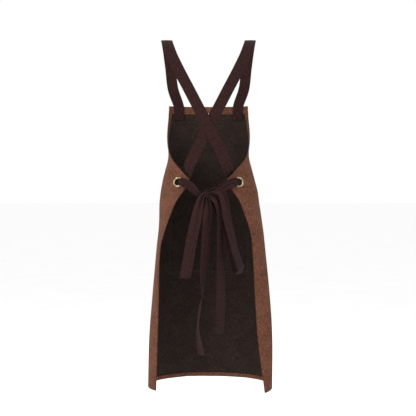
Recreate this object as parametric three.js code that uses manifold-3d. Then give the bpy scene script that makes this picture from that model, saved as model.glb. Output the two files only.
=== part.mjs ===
// Butcher apron with cross-back straps, held in the shape it takes when worn.
// Millimetres, +Z up. The wearer faces +Y. Left and right are the wearer's own.
// The origin lies midway between the two places where the straps rest on the shoulders.
import * as THREE from 'three';
import Module from 'manifold-3d';
import { mergeVertices } from 'three/addons/utils/BufferGeometryUtils.js';

const wasm = await Module();
wasm.setup();

// ---- cloth panel, as cut flat: s runs round the body from the front centre, z is height ----
const bibTopZ = -203;
const wingTipZ = -444;
const hemZ = -1103;
const bibHalfWidth = 135;
const panelHalfWidth = 343;
const clothThick = 1.2;
const panelColumns = 27;
const skirtRows = 18;
const skirtRowGrading = 1.7;
const foldThick = 1;
const foldGap = 0.95;
const edgeHem = 12;
const bibHem = 25;
const cornerGap = 2;

// ---- plan sections of the worn panel, from the bib top down to the hem ----
// front: depth of the panel at the front centre. side: half-width of the widest point.
// edge: sideways distance of the back edge. The left and right sides hang a little differently.
// They belong to a panel of the half-width below, and grow with a wider one. So does the gap that
// keeps the slanting armhole hems clear of the curved panel.
const levelsHalfWidth = 343;
const girth = panelHalfWidth / levelsHalfWidth;
const slantGap = (edgeHem / 20) * girth ** 3;
const levels = [
  { z: -203, front: 117, flat: 0.9, left: { side: 160, edge: 74 }, right: { side: 160, edge: 74 } },
  { z: -300, front: 118, flat: 0.8, left: { side: 143, edge: 64 }, right: { side: 143, edge: 64 } },
  { z: -365, front: 117, flat: 0.66, left: { side: 134, edge: 56 }, right: { side: 135, edge: 54 } },
  { z: -444, front: 115, flat: 0.58, left: { side: 149, edge: 57 }, right: { side: 150, edge: 56 } },
  { z: -478, front: 118, flat: 0.57, left: { side: 155, edge: 80 }, right: { side: 159, edge: 78 } },
  { z: -519, front: 123, flat: 0.56, left: { side: 160, edge: 104 }, right: { side: 166, edge: 101 } },
  { z: -604, front: 136, flat: 0.56, left: { side: 165, edge: 141 }, right: { side: 180, edge: 134 } },
  { z: -667, front: 141, flat: 0.56, left: { side: 172, edge: 157 }, right: { side: 187, edge: 143 } },
  { z: -824, front: 144, flat: 0.56, left: { side: 186, edge: 163 }, right: { side: 203, edge: 154 } },
  { z: -950, front: 146, flat: 0.56, left: { side: 196, edge: 167 }, right: { side: 211, edge: 164 } },
  { z: -1103, front: 150, flat: 0.56, left: { side: 200, edge: 172 }, right: { side: 210, edge: 184 } },
];
const sideRound = 0.56;
const tailRound = 0.5;
const edgeTuck = 0.92;
const curveSteps = 24;
const deepestEdge = 320;

// ---- armhole edge, as a curve in the flat panel from the bib top to the wing tip ----
const armholePull = { topDrop: 97, topOut: 5, tipIn: 93, tipRise: 84 };
const armholeSteps = 16;

// ---- flat places in the panel ----
const eyeletFromEdge = 36;
const eyeletZ = -453;
const chestFaceZ = -325;
const chestFlat = { inner: 52, outer: 100 };

// ---- eyelets ----
const holeRadius = 11;
const barrelRadius = 12.2;
const flangeRadius = 17.5;
const eyeletFlat = { inner: flangeRadius - 1.5, outer: flangeRadius + 44.5 };
const flangeThick = 1.4;
const washerThick = 1;
const metalGap = 0.95;
const rollRadius = 13.8;
const rollThick = 0.9;
const roundSegments = 32;

// ---- corner patches behind the eyelets ----
const patchWidth = 62;
const patchDrop = 56;
const patchReach = 60;

// ---- front pocket and care label ----
const pocketHalfWidth = 150;
const pocketTopZ = -560;
const pocketDrop = 200;
const pocketHem = 22;
const pocketGap = 0.8;
const labelHalfWidth = 17;
const labelDrop = 42;

// ---- straps and ties: one tape width throughout ----
const tapeWidth = 35;
const tapeThick = 1.6;
const bibStrapS = 100;
const strapSewn = 46;
const strapBow = 1.6;
const strapLift = 2.8;
const bunchWidth = 14;
const bunchThick = 6;

// ---- bow ----
const knot = new THREE.Vector3(-6, -119 * girth, -490);
const coreRadius = 6.5;
const coreHalfLength = 17;
const wrapGap = 0.4;
const wrapThick = 1.8;
const wrapWidth = 7;
const wrapPitch = 8;
const loopHalfDepth = 9;

const colours = {
  cloth: { color: 0x7a4e3a, roughness: 0.95, metalness: 0 },
  inside: { color: 0x3c302a, roughness: 0.95, metalness: 0 },
  tape: { color: 0x40292a, roughness: 0.9, metalness: 0 },
  brass: { color: 0xa08a5c, roughness: 0.4, metalness: 1 },
  label: { color: 0xd8d2c4, roughness: 0.8, metalness: 0 },
};

// ---------------------------------------------------------------- worn shape of the panel

// Value between levels, joined smoothly through the level above and the level below.
function levelValue(read, z) {
  const last = levels.length - 1;
  const clamped = Math.min(Math.max(z, levels[last].z), levels[0].z);
  let k = 0;
  while (k < last - 1 && clamped < levels[k + 1].z) k += 1;
  const slope = (i) => {
    const before = Math.max(i - 1, 0);
    const after = Math.min(i + 1, last);
    return (read(levels[after]) - read(levels[before])) / (levels[after].z - levels[before].z);
  };
  const span = levels[k + 1].z - levels[k].z;
  const t = (clamped - levels[k].z) / span;
  const rise = t * t * (3 - 2 * t);
  const fromAbove = t * (1 - t) * (1 - t) * span * slope(k);
  const fromBelow = t * t * (t - 1) * span * slope(k + 1);
  return read(levels[k]) * (1 - rise) + read(levels[k + 1]) * rise + fromAbove + fromBelow;
}

function bezierPoints(a, b, c, d) {
  return new THREE.CubicBezierCurve(a, b, c, d).getPoints(curveSteps);
}

function pathLength(points) {
  let total = 0;
  for (let i = 1; i < points.length; i += 1) total += points[i].distanceTo(points[i - 1]);
  return total;
}

const flatPoint = (x, y) => new THREE.Vector2(x, y);

// Half of a plan section: front centre to widest point, then back to the edge. The edge lies as
// deep as the flat width of the cloth leaves it.
function halfSection(side, z) {
  const name = side < 0 ? 'left' : 'right';
  const front = girth * levelValue((level) => level.front, z);
  const flat = levelValue((level) => level.flat, z);
  const wide = girth * levelValue((level) => level[name].side, z);
  const edge = girth * levelValue((level) => level[name].edge, z);
  const frontCurve = bezierPoints(
    flatPoint(0, front),
    flatPoint(flat * wide, front),
    flatPoint(wide, sideRound * front),
    flatPoint(wide, 0),
  );
  const backCurve = (depth) => bezierPoints(
    flatPoint(wide, 0),
    flatPoint(wide, -tailRound * depth),
    flatPoint(edge + tailRound * (wide - edge), -edgeTuck * depth),
    flatPoint(edge, -depth),
  );
  const needed = panelHalfWidth - pathLength(frontCurve);
  let shallow = 0;
  let deep = deepestEdge;
  while (deep - shallow > 0.001) {
    const middle = (deep + shallow) / 2;
    if (pathLength(backCurve(middle)) < needed) shallow = middle;
    else deep = middle;
  }
  return frontCurve.concat(backCurve(deep).slice(1));
}

const sectionCache = new Map();

function cachedSection(side, z) {
  const key = `${side}:${z.toFixed(4)}`;
  if (!sectionCache.has(key)) sectionCache.set(key, halfSection(side, z));
  return sectionCache.get(key);
}

// Point of the worn panel for a place in the flat panel.
function wornPoint(s, z) {
  const side = s < 0 ? -1 : 1;
  const points = cachedSection(side, z);
  let left = Math.abs(s);
  let i = 1;
  while (i < points.length - 1 && left > points[i].distanceTo(points[i - 1])) {
    left -= points[i].distanceTo(points[i - 1]);
    i += 1;
  }
  const share = left / points[i].distanceTo(points[i - 1]);
  const at = points[i - 1].clone().lerp(points[i], share);
  return new THREE.Vector3(side * at.x, at.y, z);
}

// Frame of a surface at a place in the flat panel: point, round and up directions, outward normal.
function frameAt(surface, s, z) {
  const step = 0.5;
  const round = surface(s + step, z).sub(surface(s - step, z)).normalize();
  const rise = surface(s, z + step).sub(surface(s, z - step));
  const up = rise.addScaledVector(round, -rise.dot(round)).normalize();
  const out = new THREE.Vector3().crossVectors(up, round).normalize();
  return { at: surface(s, z), round, up, out };
}

function flatPlace(s, z, reach) {
  return { s, z, reach, frame: frameAt(wornPoint, s, z) };
}

const eyeletS = panelHalfWidth - eyeletFromEdge;
const flatPlaces = [
  flatPlace(-eyeletS, eyeletZ, eyeletFlat),
  flatPlace(eyeletS, eyeletZ, eyeletFlat),
  flatPlace(0, chestFaceZ, chestFlat),
];

// Worn panel with its eyelet corners and the middle of its bib pressed flat.
function drape(s, z) {
  const point = wornPoint(s, z);
  for (const place of flatPlaces) {
    const away = Math.hypot(s - place.s, z - place.z);
    const weight = 1 - THREE.MathUtils.smoothstep(away, place.reach.inner, place.reach.outer);
    const level = place.frame.at.clone()
      .addScaledVector(place.frame.round, s - place.s)
      .addScaledVector(place.frame.up, z - place.z);
    point.lerp(level, weight);
  }
  return point;
}

// Place off the panel: positive is away from the wearer.
function offPanel(s, z, distance) {
  const frame = frameAt(drape, s, z);
  return frame.at.addScaledVector(frame.out, distance);
}

// ---------------------------------------------------------------- solids

function meshVolume(positions, triangles) {
  const corner = (i) => new THREE.Vector3().fromArray(positions, 3 * i);
  let total = 0;
  for (let i = 0; i < triangles.length; i += 3) {
    const [a, b, c] = [triangles[i], triangles[i + 1], triangles[i + 2]].map(corner);
    total += a.dot(b.cross(c)) / 6;
  }
  return total;
}

// Closed geometry with its faces turned outward.
function closedGeometry(points, triangles) {
  const positions = points.flatMap((point) => point.toArray());
  const turned = meshVolume(positions, triangles) < 0 ? triangles.slice().reverse() : triangles;
  const geometry = new THREE.BufferGeometry();
  geometry.setAttribute('position', new THREE.Float32BufferAttribute(positions, 3));
  geometry.setIndex(turned);
  return geometry;
}

// Cloth of even thickness over a grid of flat places, between two distances off the panel. Its
// facets are split the same way left and right of the centre, so pieces laid on it stay clear.
function slab(grid, inner, outer) {
  const rows = grid.length;
  const cols = grid[0].length;
  const layer = rows * cols;
  const points = [outer, inner].flatMap((distance) => (
    grid.flatMap((row) => row.map(([s, z]) => offPanel(s, z, distance)))
  ));
  const triangles = [];
  const quad = (a, b, c, d) => triangles.push(a, b, c, a, c, d);
  for (let r = 0; r < rows - 1; r += 1) {
    for (let c = 0; c < cols - 1; c += 1) {
      const a = r * cols + c;
      const [b, opposite, d] = [a + 1, a + cols + 1, a + cols];
      const [s, nextS] = [grid[r][c][0], grid[r][c + 1][0]];
      if ((s + nextS) * (nextS - s) > 0) {
        quad(a, b, opposite, d);
        quad(layer + a, layer + d, layer + opposite, layer + b);
      } else {
        quad(b, opposite, d, a);
        quad(layer + b, layer + a, layer + d, layer + opposite);
      }
    }
  }
  const rim = [];
  for (let c = 0; c < cols - 1; c += 1) rim.push(c);
  for (let r = 0; r < rows - 1; r += 1) rim.push(r * cols + cols - 1);
  for (let c = cols - 1; c > 0; c -= 1) rim.push((rows - 1) * cols + c);
  for (let r = rows - 1; r > 0; r -= 1) rim.push(r * cols);
  rim.forEach((a, i) => {
    const b = rim[(i + 1) % rim.length];
    quad(b, a, layer + a, layer + b);
  });
  return closedGeometry(points, triangles);
}

// Flat tape along stations. Each station gives its place, the way its face looks, and its size.
function ribbon(stations, steps = 4) {
  const curve = new THREE.CatmullRomCurve3(stations.map((station) => station.at), false, 'centripetal');
  const count = (stations.length - 1) * steps;
  const points = [];
  for (let i = 0; i <= count; i += 1) {
    const place = (i / count) * (stations.length - 1);
    const k = Math.min(Math.floor(place), stations.length - 2);
    const [from, to, share] = [stations[k], stations[k + 1], place - k];
    const along = curve.getTangent(i / count);
    const face = from.face.clone().lerp(to.face, share);
    face.addScaledVector(along, -face.dot(along)).normalize();
    const across = new THREE.Vector3().crossVectors(along, face);
    const halfWidth = THREE.MathUtils.lerp(from.wide, to.wide, share) / 2;
    const halfThick = THREE.MathUtils.lerp(from.thick, to.thick, share) / 2;
    for (const [u, v] of [[-1, -1], [1, -1], [1, 1], [-1, 1]]) {
      points.push(curve.getPoint(i / count)
        .addScaledVector(across, u * halfWidth)
        .addScaledVector(face, v * halfThick));
    }
  }
  const triangles = [];
  for (let i = 0; i < count; i += 1) {
    for (let c = 0; c < 4; c += 1) {
      const a = 4 * i + c;
      const b = 4 * i + ((c + 1) % 4);
      triangles.push(a, b, b + 4, a, b + 4, a + 4);
    }
  }
  const end = 4 * count;
  triangles.push(0, 2, 1, 0, 3, 2, end, end + 1, end + 2, end, end + 2, end + 3);
  return closedGeometry(points, triangles);
}

function turned(outline) {
  const profile = outline.concat([outline[0]]).map(([radius, height]) => flatPoint(radius, height));
  return new THREE.LatheGeometry(profile, roundSegments);
}

// Turned solid stood on a frame, its axis along one of the frame's directions.
function placed(geometry, at, axis) {
  const turn = new THREE.Quaternion().setFromUnitVectors(new THREE.Vector3(0, 1, 0), axis);
  return geometry.applyQuaternion(turn).translate(at.x, at.y, at.z);
}

function toManifold(geometry) {
  const bare = geometry.clone();
  bare.deleteAttribute('normal');
  bare.deleteAttribute('uv');
  const merged = mergeVertices(bare, 1e-4);
  return new wasm.Manifold(new wasm.Mesh({
    numProp: 3,
    vertProperties: new Float32Array(merged.attributes.position.array),
    triVerts: new Uint32Array(merged.index.array),
  }));
}

function fromManifold(solid) {
  const mesh = solid.getMesh();
  const geometry = new THREE.BufferGeometry();
  geometry.setAttribute('position', new THREE.Float32BufferAttribute(mesh.vertProperties, 3));
  geometry.setIndex(Array.from(mesh.triVerts));
  return geometry;
}

// The same geometry with its faces outward, for one that a left-handed frame has turned inside out.
function turnedOut(geometry) {
  const bare = mergeVertices(geometry.clone().deleteAttribute('normal').deleteAttribute('uv'), 1e-4);
  const corner = new THREE.Vector3();
  const points = Array.from({ length: bare.attributes.position.count }, (_, i) => (
    corner.fromBufferAttribute(bare.attributes.position, i).clone()
  ));
  return closedGeometry(points, Array.from(bare.index.array));
}

const kept = (whole, tool) => fromManifold(toManifold(whole).intersect(toManifold(tool)));
const joined = (first, second) => fromManifold(toManifold(first).add(toManifold(second)));
const cutAway = (whole, tool) => fromManifold(toManifold(whole).subtract(toManifold(tool)));

// ---------------------------------------------------------------- flat outline of the panel

const armhole = new THREE.CubicBezierCurve(
  flatPoint(bibHalfWidth, bibTopZ),
  flatPoint(bibHalfWidth + armholePull.topOut, bibTopZ - armholePull.topDrop),
  flatPoint(panelHalfWidth - armholePull.tipIn, wingTipZ + armholePull.tipRise),
  flatPoint(panelHalfWidth, wingTipZ),
);

const evenly = (from, to, count) => (
  Array.from({ length: count + 1 }, (_, i) => THREE.MathUtils.lerp(from, to, i / count))
);

// Place beside the armhole edge, measured square to the edge and into the cloth.
function besideArmhole(t, inward) {
  const edge = armhole.getPoint(t);
  const along = armhole.getTangent(t);
  return [edge.x + along.y * inward, edge.y - along.x * inward];
}

// Share of the armhole curve at which a reading of it passes a value.
function armholeShare(read, value) {
  let from = 0;
  let to = 1;
  while (to - from > 1e-6) {
    const middle = (from + to) / 2;
    if (read(middle) < value) from = middle;
    else to = middle;
  }
  return from;
}

const mirrored = (grid, side) => grid.map((row) => row.map(([s, z]) => [side * s, z]));

function panelRow(halfWidth, z) {
  const half = evenly(0, halfWidth - edgeHem, panelColumns).concat([halfWidth]);
  const left = half.slice(1).reverse().map((s) => [-s, z]);
  return left.concat(half.map((s) => [s, z]));
}

// Heights down the skirt, closer together near the top, where the panel bends most.
function skirtHeights(bottom, top) {
  return evenly(1, 0, skirtRows).map((share) => top - (top - bottom) * share ** skirtRowGrading);
}

function panelGrid() {
  const skirt = [hemZ].concat(skirtHeights(hemZ + edgeHem, wingTipZ));
  const rows = skirt.map((z) => panelRow(panelHalfWidth, z));
  for (let i = armholeSteps - 1; i >= 0; i -= 1) {
    const edge = armhole.getPoint(i / armholeSteps);
    rows.push(panelRow(edge.x, edge.y));
  }
  return rows;
}

// ---------------------------------------------------------------- sub-parts

const clothInner = -clothThick / 2;
const clothOuter = clothThick / 2;
const foldOuter = clothInner - foldGap;
const foldInner = foldOuter - foldThick;

function eyeletFrame(side) {
  return frameAt(drape, side * eyeletS, eyeletZ);
}

function eyeletHole(geometry, side) {
  const { at, out } = eyeletFrame(side);
  const cutter = new THREE.CylinderGeometry(
    barrelRadius + metalGap, barrelRadius + metalGap, 8 * clothThick, roundSegments,
  );
  return cutAway(geometry, placed(cutter, at, out));
}

function apronPanel() {
  const whole = slab(panelGrid(), clothInner, clothOuter);
  return eyeletHole(eyeletHole(whole, -1), 1);
}

function bottomHem() {
  const row = panelRow(panelHalfWidth, hemZ).map(([s]) => s);
  const grid = [hemZ, hemZ + edgeHem].map((z) => row.map((s) => [s, z]));
  return slab(grid, foldInner, foldOuter);
}

function sideHem(side) {
  const heights = skirtHeights(hemZ + edgeHem, wingTipZ);
  const between = heights.slice(1).filter((z) => z < wingTipZ - edgeHem - cornerGap);
  const zs = [heights[0] + cornerGap].concat(between);
  const grid = zs.map((z) => [[panelHalfWidth - edgeHem, z], [panelHalfWidth, z]]);
  return slab(mirrored(grid, side), foldInner, foldOuter);
}

function armholeHem(side) {
  const start = armholeShare((t) => -armhole.getPoint(t).y, bibHem + cornerGap - bibTopZ);
  const grid = evenly(start, 1, 28).map((t) => [besideArmhole(t, edgeHem), besideArmhole(t, 0)]);
  return slab(mirrored(grid, side), foldInner - slantGap, foldOuter - slantGap);
}

function bibTopHem() {
  const halfWidthAt = (z) => armhole.getPoint(armholeShare((t) => -armhole.getPoint(t).y, -z)).x;
  const zs = [bibTopZ - bibHem, bibTopZ];
  const grid = zs.map((z) => evenly(-halfWidthAt(z), halfWidthAt(z), 24).map((s) => [s, z]));
  return slab(grid, foldInner, foldOuter);
}

// Cut from a layer that follows the panel, to an outline in the plane of the eyelet. The outline
// keeps clear of the armhole hem above and the side hem beside it.
function cornerPatch(side) {
  const { at, round, up, out } = eyeletFrame(side);
  const away = round.clone().multiplyScalar(side);
  const clear = edgeHem + cornerGap;
  const far = panelHalfWidth - clear;
  const top = (s) => besideArmhole(armholeShare((t) => besideArmhole(t, clear)[0], s), clear);
  const floorZ = wingTipZ - patchDrop;
  const near = far - patchWidth;
  const ceiling = evenly(far, near, 4).map(top);
  const corners = [[near, floorZ], [far, floorZ]].concat(ceiling);
  const outline = new THREE.Shape(corners.map(([s, z]) => {
    const reach = drape(side * s, z).sub(at);
    return flatPoint(reach.dot(away), reach.dot(up));
  }));
  const prism = new THREE.ExtrudeGeometry(outline, { depth: patchReach, bevelEnabled: false });
  prism.translate(0, 0, -patchReach / 2);
  prism.applyMatrix4(new THREE.Matrix4().makeBasis(away, up, out).setPosition(at));
  const layer = slab(panelGrid(), foldInner, foldOuter);
  return eyeletHole(kept(layer, turnedOut(prism)), side);
}

function frontPocket() {
  const zs = evenly(pocketTopZ - pocketDrop, pocketTopZ, 6);
  const grid = zs.map((z) => evenly(-pocketHalfWidth, pocketHalfWidth, 18).map((s) => [s, z]));
  const inner = clothOuter + pocketGap;
  return slab(grid, inner, inner + foldThick);
}

function frontPocketHem() {
  const zs = [pocketTopZ - pocketHem, pocketTopZ];
  const grid = zs.map((z) => evenly(-pocketHalfWidth, pocketHalfWidth, 18).map((s) => [s, z]));
  const inner = clothOuter + foldThick + 2 * pocketGap;
  return slab(grid, inner, inner + foldThick);
}

function careLabel() {
  const top = bibTopZ - bibHem - cornerGap;
  const zs = [top - labelDrop, top];
  const grid = zs.map((z) => evenly(-labelHalfWidth, labelHalfWidth, 2).map((s) => [s, z]));
  return slab(grid, foldOuter - foldThick / 2, foldOuter);
}

// Flange outside the cloth, barrel through it, and the barrel's end rolled over the washer.
const flangeBase = clothOuter + metalGap;
const washerTop = foldInner - metalGap;
const rollTop = washerTop - washerThick - metalGap;
const rollBase = rollTop - rollThick;

function eyelet(side) {
  const { at, out } = eyeletFrame(side);
  return placed(turned([
    [holeRadius, flangeBase + flangeThick * 0.6],
    [holeRadius, rollBase],
    [rollRadius, rollBase],
    [rollRadius, rollTop],
    [barrelRadius, rollTop],
    [barrelRadius, flangeBase],
    [flangeRadius, flangeBase],
    [flangeRadius - flangeThick / 2, flangeBase + flangeThick * 0.7],
    [(flangeRadius + holeRadius) / 2, flangeBase + flangeThick],
    [holeRadius + flangeThick / 2, flangeBase + flangeThick],
  ]), at, out);
}

function eyeletWasher(side) {
  const { at, out } = eyeletFrame(side);
  return placed(turned([
    [barrelRadius + metalGap, washerTop - washerThick],
    [flangeRadius, washerTop - washerThick],
    [flangeRadius, washerTop],
    [barrelRadius + metalGap, washerTop],
  ]), at, out);
}

const facing = (x, y, z) => new THREE.Vector3(x, y, z).normalize();

function station(at, face, wide = tapeWidth, thick = tapeThick) {
  return { at, face, wide, thick };
}

// Strap from the inside of the bib over its own shoulder, across the back, out through the far
// eyelet and on to the knot. The strap of the left shoulder lies on top where the two cross.
function shoulderStrap(side) {
  const lift = side < 0 ? strapLift / 2 : -strapLift / 2;
  const own = (x, y, z) => new THREE.Vector3(side * x, girth * y, z);
  const behindBib = foldInner - metalGap - strapBow - tapeThick / 2;
  const sewn = [bibTopZ - strapSewn, bibTopZ - strapSewn / 2, bibTopZ].map((z) => (
    station(offPanel(side * bibStrapS, z, behindBib), frameAt(drape, side * bibStrapS, z).out)
  ));
  const over = [
    station(own(117, 88, -145), facing(0, 1, 0.15)),
    station(own(124, 72, -82), facing(0, 1, 0.45)),
    station(own(131, 42, -24), facing(0, 0.6, 1)),
    station(own(134, 0, 0), facing(0, 0, 1)),
    station(own(128, -46, -19), facing(0, -0.7, 1)),
    station(own(115, -78, -56), facing(0, -1, 0.6)),
  ];
  const back = [
    station(own(90, -101, -110), facing(0, -1, 0.25)),
    station(own(58, -114, -172), facing(0, -1, 0.1)),
    station(own(27, -119 - lift, -232), facing(0, -1, 0)),
    station(own(0, -119 - lift, -283), facing(0, -1, 0)),
    station(own(-24, -115 - lift, -330), facing(0, -1, -0.1)),
    station(own(-42, -108, -366), facing(-0.1, -1, -0.2)),
    station(own(-59, -98, -402), facing(-0.2, -1, -0.2)),
  ];
  return ribbon(sewn.concat(over, back, throughEyelet(-side)));
}

// Last stretch of a strap: down behind the wing, bunched through the eyelet, spread, and into the
// end of the knot.
function throughEyelet(side) {
  const { at, round, up, out } = eyeletFrame(side);
  const inward = round.clone().multiplyScalar(side);
  const near = (toEdge, rise, off) => at.clone()
    .addScaledVector(inward, toEdge)
    .addScaledVector(up, rise)
    .addScaledVector(out, off);
  const away = inward.clone().negate();
  const inwardUp = inward.clone().add(up).normalize();
  const entry = new THREE.Vector3(
    knot.x + side * (coreHalfLength + wrapGap), knot.y, knot.z,
  );
  return [
    station(near(19, 22, rollBase - 8), out, 0.8 * tapeWidth),
    station(near(9, 9, rollBase - 6.5), out, 1.4 * bunchWidth, 0.6 * bunchThick),
    station(near(1, 1, rollBase - 0.5), inwardUp, bunchWidth, bunchThick),
    station(near(0, 0, 1), inward, bunchWidth, bunchThick),
    station(near(3, -1, 7), inward, 1.3 * bunchWidth, 0.7 * bunchThick),
    station(near(16, -5, 13), away.clone().sub(out), 0.8 * tapeWidth, 1.5 * tapeThick),
    station(entry.clone().lerp(near(16, -5, 13), 0.55), facing(0, 1, 0), 0.72 * tapeWidth),
    station(entry.clone().add(new THREE.Vector3(side * 10, 0, 0)), facing(0, 1, 0), 12, 4),
    station(entry, facing(0, 1, 0), 9, 6),
  ];
}

function bowKnot() {
  const bevel = 1.5;
  const core = turned([
    [0.01, -coreHalfLength],
    [coreRadius - bevel, -coreHalfLength],
    [coreRadius, -coreHalfLength + bevel],
    [coreRadius, coreHalfLength - bevel],
    [coreRadius - bevel, coreHalfLength],
    [0.01, coreHalfLength],
  ]);
  return placed(core, knot, facing(1, 0, 0));
}

// Turn of tape round the knot from which a loop or tail hangs.
function knotWrap(slot) {
  const inner = coreRadius + wrapGap;
  const outline = [
    [inner, -wrapWidth / 2],
    [inner + wrapThick, -wrapWidth / 2],
    [inner + wrapThick, wrapWidth / 2],
    [inner, wrapWidth / 2],
  ];
  const at = knot.clone().add(new THREE.Vector3(wrapSlotX(slot), 0, 0));
  return placed(turned(outline), at, facing(1, 0, 0));
}

const wrapSlotX = (slot) => (slot - 1.5) * wrapPitch;
const wrapFoot = -(coreRadius + wrapGap + wrapThick / 2);
const neckDrop = 5;

// First places of a loop or tail, straight down from its turn round the knot.
function neck(slot) {
  return [0, neckDrop].map((drop) => [wrapSlotX(slot), wrapFoot - drop, wrapWidth]);
}

// Down one leg and up the other: each leg place is sideways, downward and width.
function bowLoop(slot, legs, bottom) {
  const leg = (depthSign) => neck(slot).concat(legs).map(([x, z, wide], i) => {
    const depth = i < 2 ? wrapThick / 2 : loopHalfDepth * Math.min(1, i / 3);
    return station(
      knot.clone().add(new THREE.Vector3(x, depthSign * depth, z)), facing(0, depthSign, 0), wide,
    );
  });
  const fold = station(
    knot.clone().add(new THREE.Vector3(bottom[0], 0, bottom[1])), facing(0, 0, -1), bottom[2],
  );
  const tape = ribbon(leg(-1).concat([fold], leg(1).reverse()));
  return joined(knotWrap(slot), tape);
}

function tieTail(slot, places) {
  const tape = ribbon(neck(slot).concat(places).map(([x, z, wide]) => (
    station(knot.clone().add(new THREE.Vector3(x, 0, z)), facing(0, -1, 0), wide)
  )), 3);
  return joined(knotWrap(slot), tape);
}

function loopLeft() {
  const legs = [[-17, -27, 11], [-27, -62, 27], [-37, -110, tapeWidth], [-51, -180, tapeWidth],
    [-62, -236, tapeWidth]];
  return bowLoop(0, legs, [-66, -260, tapeWidth]);
}

function loopRight() {
  const legs = [[25, -23, 9], [49, -50, 22], [66, -92, 32], [78, -135, tapeWidth],
    [91, -195, tapeWidth]];
  return bowLoop(3, legs, [96, -243, tapeWidth]);
}

function tailLeft() {
  return tieTail(1, [[-3, -25, 8], [1, -60, 17], [3, -100, 27], [0, -150, 31], [-6, -210, 29],
    [-12, -290, 26], [-18, -370, 26], [-22, -440, 26], [-18, -494, 26]]);
}

function tailRight() {
  return tieTail(2, [[11, -27, 8], [27, -52, 10], [37, -84, 16], [42, -130, 22], [43, -210, 27],
    [44, -300, 27], [44, -380, 27], [40, -430, 27]]);
}

// ---------------------------------------------------------------- assembly

const group = new THREE.Group();

function addPart(name, geometry, finish) {
  const mesh = new THREE.Mesh(geometry, new THREE.MeshStandardMaterial(finish));
  mesh.name = name;
  group.add(mesh);
}

addPart('apron_panel', apronPanel(), colours.cloth);
addPart('bib_top_hem', bibTopHem(), colours.inside);
addPart('bottom_hem', bottomHem(), colours.inside);
addPart('front_pocket', frontPocket(), colours.cloth);
addPart('front_pocket_hem', frontPocketHem(), colours.cloth);
addPart('care_label', careLabel(), colours.label);
for (const [side, name] of [[-1, 'left'], [1, 'right']]) {
  addPart(`armhole_hem_${name}`, armholeHem(side), colours.inside);
  addPart(`side_hem_${name}`, sideHem(side), colours.inside);
  addPart(`corner_patch_${name}`, cornerPatch(side), colours.inside);
  addPart(`eyelet_${name}`, eyelet(side), colours.brass);
  addPart(`eyelet_washer_${name}`, eyeletWasher(side), colours.brass);
  addPart(`shoulder_strap_${name}`, shoulderStrap(side), colours.tape);
}
addPart('bow_knot', bowKnot(), colours.tape);
addPart('bow_loop_left', loopLeft(), colours.tape);
addPart('bow_loop_right', loopRight(), colours.tape);
addPart('tie_tail_left', tailLeft(), colours.tape);
addPart('tie_tail_right', tailRight(), colours.tape);

export default group;
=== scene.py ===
"""Looks of the butcher apron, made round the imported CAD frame. Metres, +Z up, wearer faces +Y."""

import math

import bpy
import numpy as np
from mathutils import Matrix, Vector


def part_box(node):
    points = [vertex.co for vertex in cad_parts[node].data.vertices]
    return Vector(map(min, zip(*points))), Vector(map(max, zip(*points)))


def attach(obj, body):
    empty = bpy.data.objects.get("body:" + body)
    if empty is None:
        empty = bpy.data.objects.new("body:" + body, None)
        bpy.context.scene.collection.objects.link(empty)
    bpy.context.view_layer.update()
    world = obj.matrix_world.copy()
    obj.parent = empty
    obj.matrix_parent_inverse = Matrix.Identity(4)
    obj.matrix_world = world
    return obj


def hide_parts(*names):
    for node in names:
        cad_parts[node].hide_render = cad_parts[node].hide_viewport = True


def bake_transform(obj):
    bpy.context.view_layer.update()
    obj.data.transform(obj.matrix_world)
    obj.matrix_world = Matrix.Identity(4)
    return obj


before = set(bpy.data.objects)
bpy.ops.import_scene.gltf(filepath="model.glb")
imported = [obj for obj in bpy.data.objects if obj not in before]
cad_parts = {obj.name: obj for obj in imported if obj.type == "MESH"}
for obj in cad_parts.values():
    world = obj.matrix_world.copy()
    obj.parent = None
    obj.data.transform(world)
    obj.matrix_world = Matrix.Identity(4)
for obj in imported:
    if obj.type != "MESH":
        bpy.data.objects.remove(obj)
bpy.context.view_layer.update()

# ---- cloth panel, as cut flat: s runs round the body from the front centre, z is height ----
BIB_TOP = -0.203
WING_TIP = -0.444
HEM = -1.103
BIB_HALF_WIDTH = 0.135
PANEL_HALF_WIDTH = 0.343
CORNER_DROOP = (0.008, 0.018)
EDGE_HEM = 0.012
BIB_HEM = 0.025
ARMHOLE_PULL = {"top_drop": 0.097, "top_out": 0.005, "tip_in": 0.093, "tip_rise": 0.084}
CLOTH = 0.0009
FOLD_OFFSET = -0.0013
FOLD = 0.0008

# ---- plan sections of the worn panel: depth and squareness of the front, widest point, edge ----
LEVELS = [
    # z, front, flat, left side, left edge, right side, right edge
    (-0.203, 0.117, 0.90, 0.160, 0.074, 0.160, 0.074),
    (-0.300, 0.118, 0.80, 0.143, 0.064, 0.143, 0.064),
    (-0.365, 0.117, 0.66, 0.134, 0.056, 0.135, 0.054),
    (-0.444, 0.115, 0.58, 0.149, 0.057, 0.150, 0.056),
    (-0.478, 0.118, 0.57, 0.155, 0.080, 0.159, 0.078),
    (-0.519, 0.123, 0.56, 0.160, 0.104, 0.166, 0.101),
    (-0.604, 0.136, 0.56, 0.165, 0.141, 0.180, 0.134),
    (-0.667, 0.141, 0.56, 0.172, 0.157, 0.187, 0.143),
    (-0.824, 0.144, 0.56, 0.186, 0.163, 0.203, 0.154),
    (-0.950, 0.146, 0.56, 0.196, 0.167, 0.211, 0.164),
    (-1.103, 0.150, 0.56, 0.200, 0.172, 0.210, 0.184),
]
LEVEL_Z = [level[0] for level in LEVELS]
FRONT, FLAT, WIDE, EDGE = 1, 2, {-1: 3, 1: 5}, {-1: 4, 1: 6}
SIDE_ROUND = 0.56
TAIL_ROUND = 0.5
EDGE_TUCK = 0.92
CURVE_STEPS = 48
DEEPEST_BACK = 0.32
LENGTH_MATCH = 1e-6
DROOP_POWER = 4

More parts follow.
